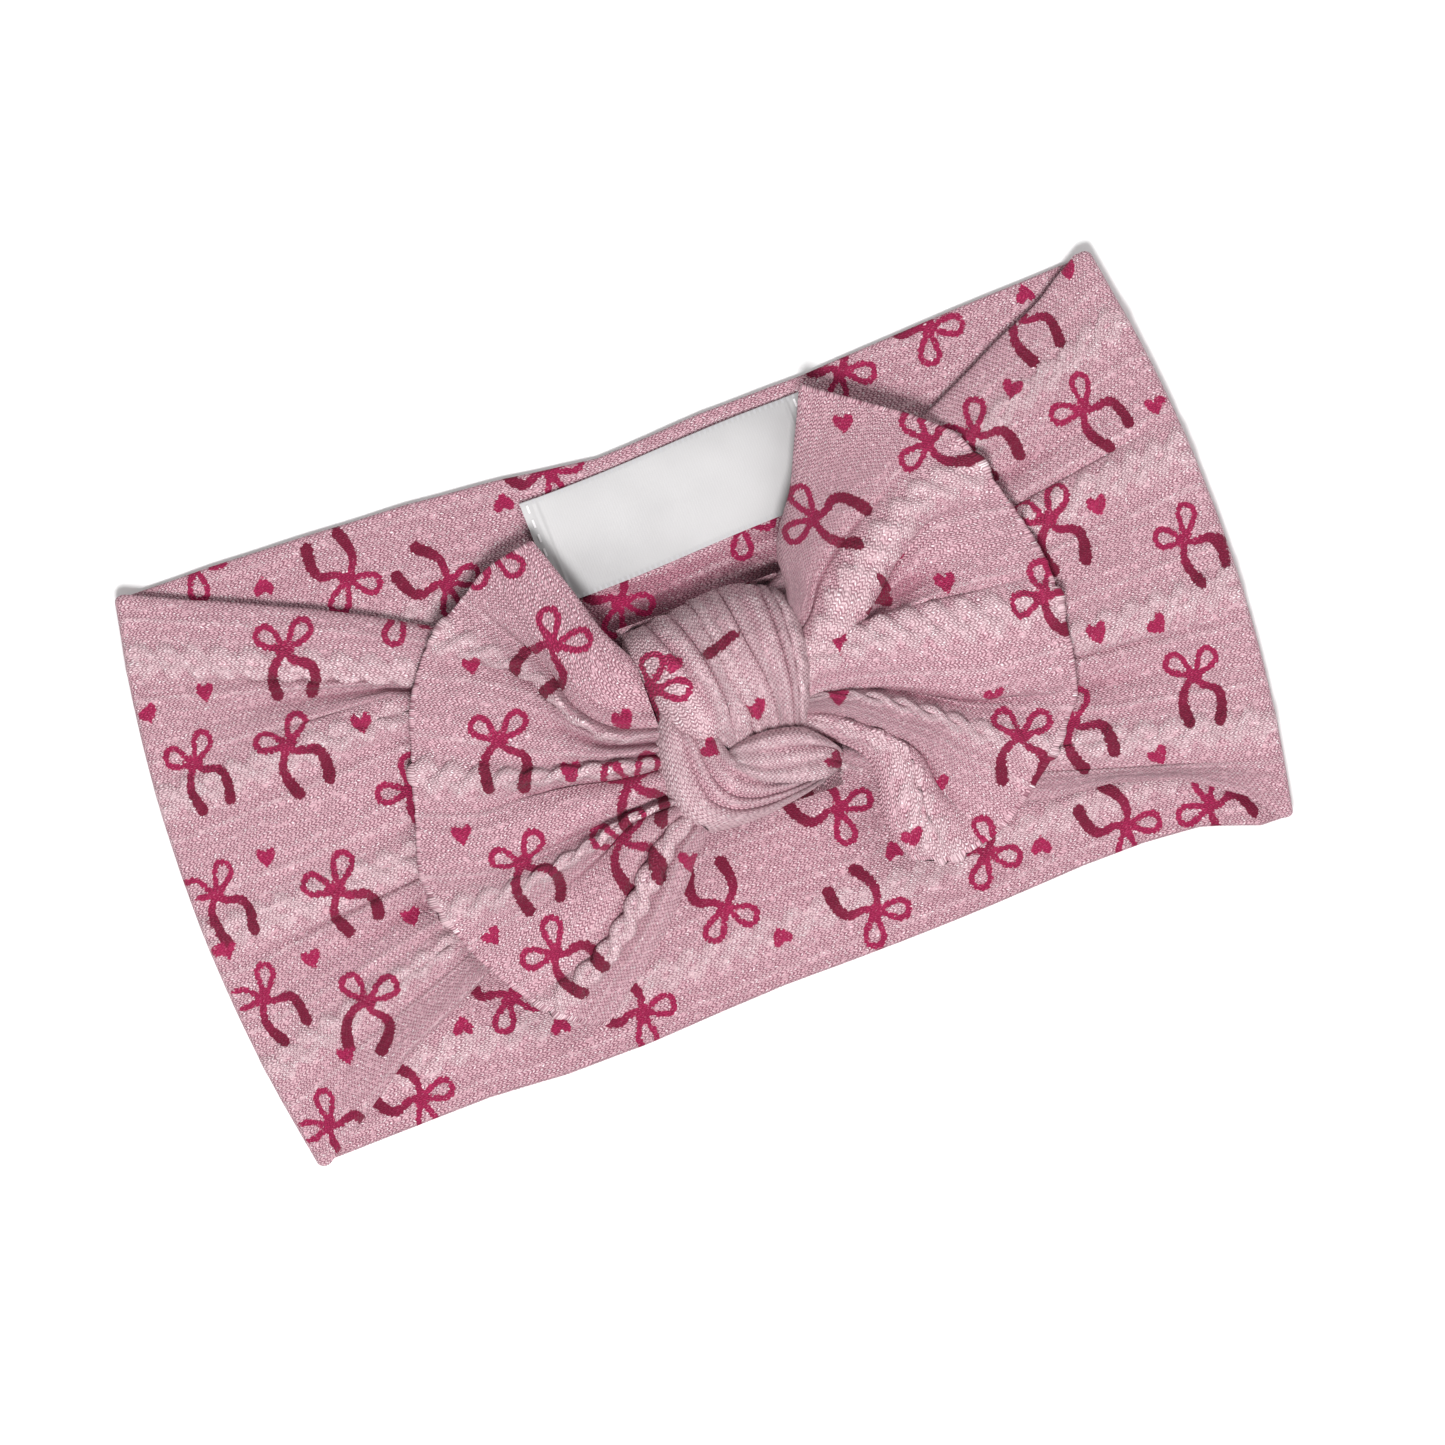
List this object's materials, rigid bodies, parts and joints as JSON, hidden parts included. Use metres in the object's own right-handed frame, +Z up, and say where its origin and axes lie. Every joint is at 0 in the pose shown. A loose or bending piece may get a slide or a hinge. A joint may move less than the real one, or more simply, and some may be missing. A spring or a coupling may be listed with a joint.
{
  "type": "bow headband",
  "caption": "Wide stretch-knit fabric headband lying flat, with a soft knotted bow of the same knit tied round its gathered front and a plain satin label sewn inside the back.",
  "frame": {"origin": "on the resting surface under the middle of the flat band", "axes": "+X along the band from its left fold to its right fold as seen from the bow's side, +Y across the band's width towards the edge the label is sewn near, +Z up from the back half to the bow"},
  "size_m": [0.203, 0.1108, 0.0214],
  "materials": {
    "cable_knit": "pale pink cable knit with small magenta bows and hearts",
    "satin_label": "white woven satin ribbon, unprinted",
    "thread": "matt white sewing thread"
  },
  "bodies": {
    "back_centre": {"back_centre_panel": "cable_knit", "care_label": "satin_label", "label_stitches_left": "thread", "label_stitches_right": "thread"},
    "back_left_inner": {"back_left_inner_panel": "cable_knit"},
    "back_left_outer": {"back_left_outer_panel": "cable_knit"},
    "front_left_outer": {"front_left_outer_panel": "cable_knit"},
    "front_left_inner": {"front_left_inner_panel": "cable_knit"},
    "front_centre": {"front_left_gather": "cable_knit", "knot_upper_turn": "cable_knit", "knot_lower_turn": "cable_knit", "knot_back_turn": "cable_knit"},
    "back_right_inner": {"back_right_inner_panel": "cable_knit"},
    "back_right_outer": {"back_right_outer_panel": "cable_knit"},
    "front_right_outer": {"front_right_outer_panel": "cable_knit"},
    "front_right_inner": {"front_right_inner_panel": "cable_knit"},
    "front_centre_right": {"front_right_gather": "cable_knit"},
    "left_wing": {"left_wing": "cable_knit"},
    "right_wing": {"right_wing": "cable_knit"}
  },
  "joints": [
    {"name": "loop_open", "type": "hinge", "parent": "back_centre", "child": "back_left_inner", "pos_m": [-0.038, 0, 0.002], "axis": [0, 1, 0], "range_deg": [0, 40]},
    {"name": "back_left_outer_bend", "type": "hinge", "parent": "back_left_inner", "child": "back_left_outer", "pos_m": [-0.07, 0, 0.002], "axis": [0, 1, 0], "range_deg": [0, 33]},
    {"name": "left_fold", "type": "hinge", "parent": "back_left_outer", "child": "front_left_outer", "pos_m": [-0.1015, 0, 0.0023], "axis": [0, -1, 0], "range_deg": [0, 146]},
    {"name": "front_left_outer_bend", "type": "hinge", "parent": "front_left_outer", "child": "front_left_inner", "pos_m": [-0.07, 0, 0.0026], "axis": [0, 1, 0], "range_deg": [0, 33]},
    {"name": "front_left_inner_bend", "type": "hinge", "parent": "front_left_inner", "child": "front_centre", "pos_m": [-0.038, 0, 0.0026], "axis": [0, 1, 0], "range_deg": [0, 40]},
    {"name": "back_right_inner_bend", "type": "hinge", "parent": "back_centre", "child": "back_right_inner", "pos_m": [0.038, 0, 0.002], "axis": [0, -1, 0], "range_deg": [0, 40]},
    {"name": "back_right_outer_bend", "type": "hinge", "parent": "back_right_inner", "child": "back_right_outer", "pos_m": [0.07, 0, 0.002], "axis": [0, -1, 0], "range_deg": [0, 33]},
    {"name": "right_fold", "type": "hinge", "parent": "back_right_outer", "child": "front_right_outer", "pos_m": [0.1015, 0, 0.0023], "axis": [0, 1, 0], "range_deg": [0, 146]},
    {"name": "front_right_outer_bend", "type": "hinge", "parent": "front_right_outer", "child": "front_right_inner", "pos_m": [0.07, 0, 0.0026], "axis": [0, -1, 0], "range_deg": [0, 33]},
    {"name": "front_right_inner_bend", "type": "hinge", "parent": "front_right_inner", "child": "front_centre_right", "pos_m": [0.038, 0, 0.0026], "axis": [0, -1, 0], "range_deg": [0, 40]},
    {"name": "left_wing_lift", "type": "hinge", "parent": "front_centre", "child": "left_wing", "pos_m": [-0.014, 0, 0.0144], "axis": [0, 1, 0], "range_deg": [0, 70]},
    {"name": "right_wing_lift", "type": "hinge", "parent": "front_centre", "child": "right_wing", "pos_m": [0.0226, 0, 0.0144], "axis": [0, -1, 0], "range_deg": [0, 70]}
  ],
  "couplings": [
    {"joint": "back_left_outer_bend", "follows": "loop_open", "ratio": 0.825},
    {"joint": "left_fold", "follows": "loop_open", "ratio": 3.65},
    {"joint": "front_left_outer_bend", "follows": "loop_open", "ratio": 0.825},
    {"joint": "front_left_inner_bend", "follows": "loop_open", "ratio": 1},
    {"joint": "back_right_inner_bend", "follows": "loop_open", "ratio": 1},
    {"joint": "back_right_outer_bend", "follows": "loop_open", "ratio": 0.825},
    {"joint": "right_fold", "follows": "loop_open", "ratio": 3.65},
    {"joint": "front_right_outer_bend", "follows": "loop_open", "ratio": 0.825},
    {"joint": "front_right_inner_bend", "follows": "loop_open", "ratio": 1}
  ]
}
